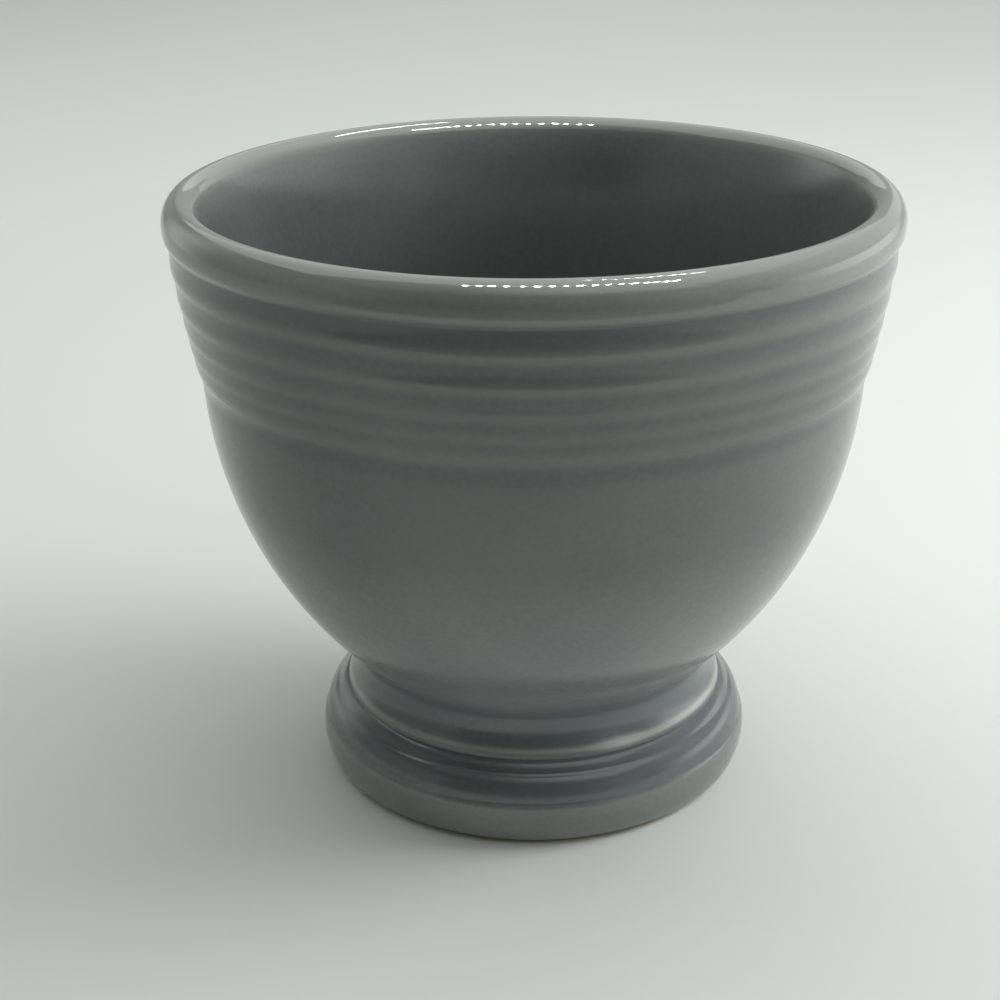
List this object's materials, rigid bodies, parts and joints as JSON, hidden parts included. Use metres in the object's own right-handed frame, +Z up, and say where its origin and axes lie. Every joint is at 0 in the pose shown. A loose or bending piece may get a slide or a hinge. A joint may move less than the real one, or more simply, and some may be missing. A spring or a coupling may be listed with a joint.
{
  "type": "egg cup",
  "caption": "Footed egg cup in grey glazed earthenware: a round bowl with a ringed band under a rolled rim, on a low ringed foot that is hollow underneath.",
  "frame": {"origin": "on the table, under the middle of the foot", "axes": "+Z up along the axis the cup was turned on; the cup is round, so +X and +Y are any two square directions on the table"},
  "size_m": [0.086, 0.086, 0.0735],
  "materials": {
    "clay": "matt fired earthenware, wiped clean of glaze",
    "slip": "matt fired slip",
    "inside_glaze": "opaque grey gloss glaze, poured",
    "outside_glaze": "opaque grey gloss glaze, thinner and warmer over the edges",
    "well_glaze": "opaque grey gloss glaze, thin"
  },
  "bodies": {
    "root": {"bowl_body": "clay", "foot_body": "clay", "slip_joint": "slip", "inside_glaze": "inside_glaze", "outside_glaze": "outside_glaze", "well_glaze": "well_glaze"}
  },
  "joints": []
}
